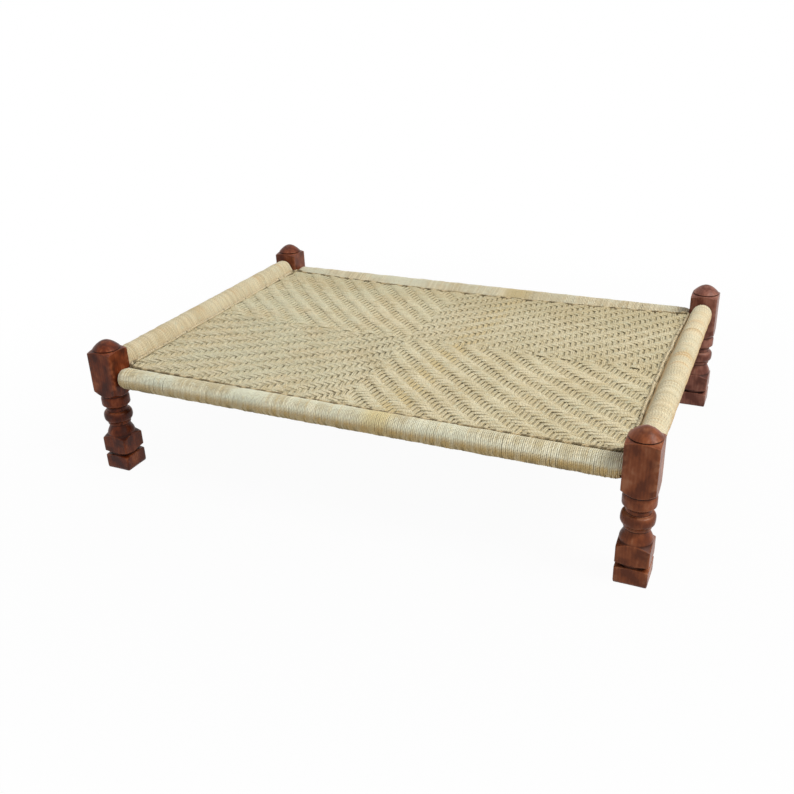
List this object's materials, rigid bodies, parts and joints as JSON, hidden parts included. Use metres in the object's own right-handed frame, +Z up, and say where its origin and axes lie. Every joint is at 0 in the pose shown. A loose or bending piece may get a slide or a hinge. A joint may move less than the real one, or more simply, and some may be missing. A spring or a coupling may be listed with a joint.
{
  "type": "charpai",
  "caption": "Low woven rope bed: turned wooden legs, round rails wrapped in grass cord, and a chevron-woven cord web.",
  "frame": {"origin": "on the floor, under the middle of the bed", "axes": "+X along the long side, +Y from the front long side to the back one, +Z up"},
  "size_m": [1.83, 1.27, 0.46],
  "materials": {
    "leg_wood": "satin reddish-brown hardwood",
    "rail_wood": "plain unpolished pole",
    "wrap_cord": "dry twisted grass cord, wound",
    "web_cord": "dry twisted grass cord, woven",
    "border_cord": "darker twisted grass cord"
  },
  "bodies": {
    "root": {"leg_front_left": "leg_wood", "leg_front_right": "leg_wood", "leg_back_left": "leg_wood", "leg_back_right": "leg_wood", "rail_front": "rail_wood", "rail_back": "rail_wood", "rail_left": "rail_wood", "rail_right": "rail_wood", "wrap_front": "wrap_cord", "wrap_back": "wrap_cord", "wrap_left": "wrap_cord", "wrap_right": "wrap_cord", "woven_web": "web_cord", "border_cord": "border_cord"}
  },
  "joints": []
}
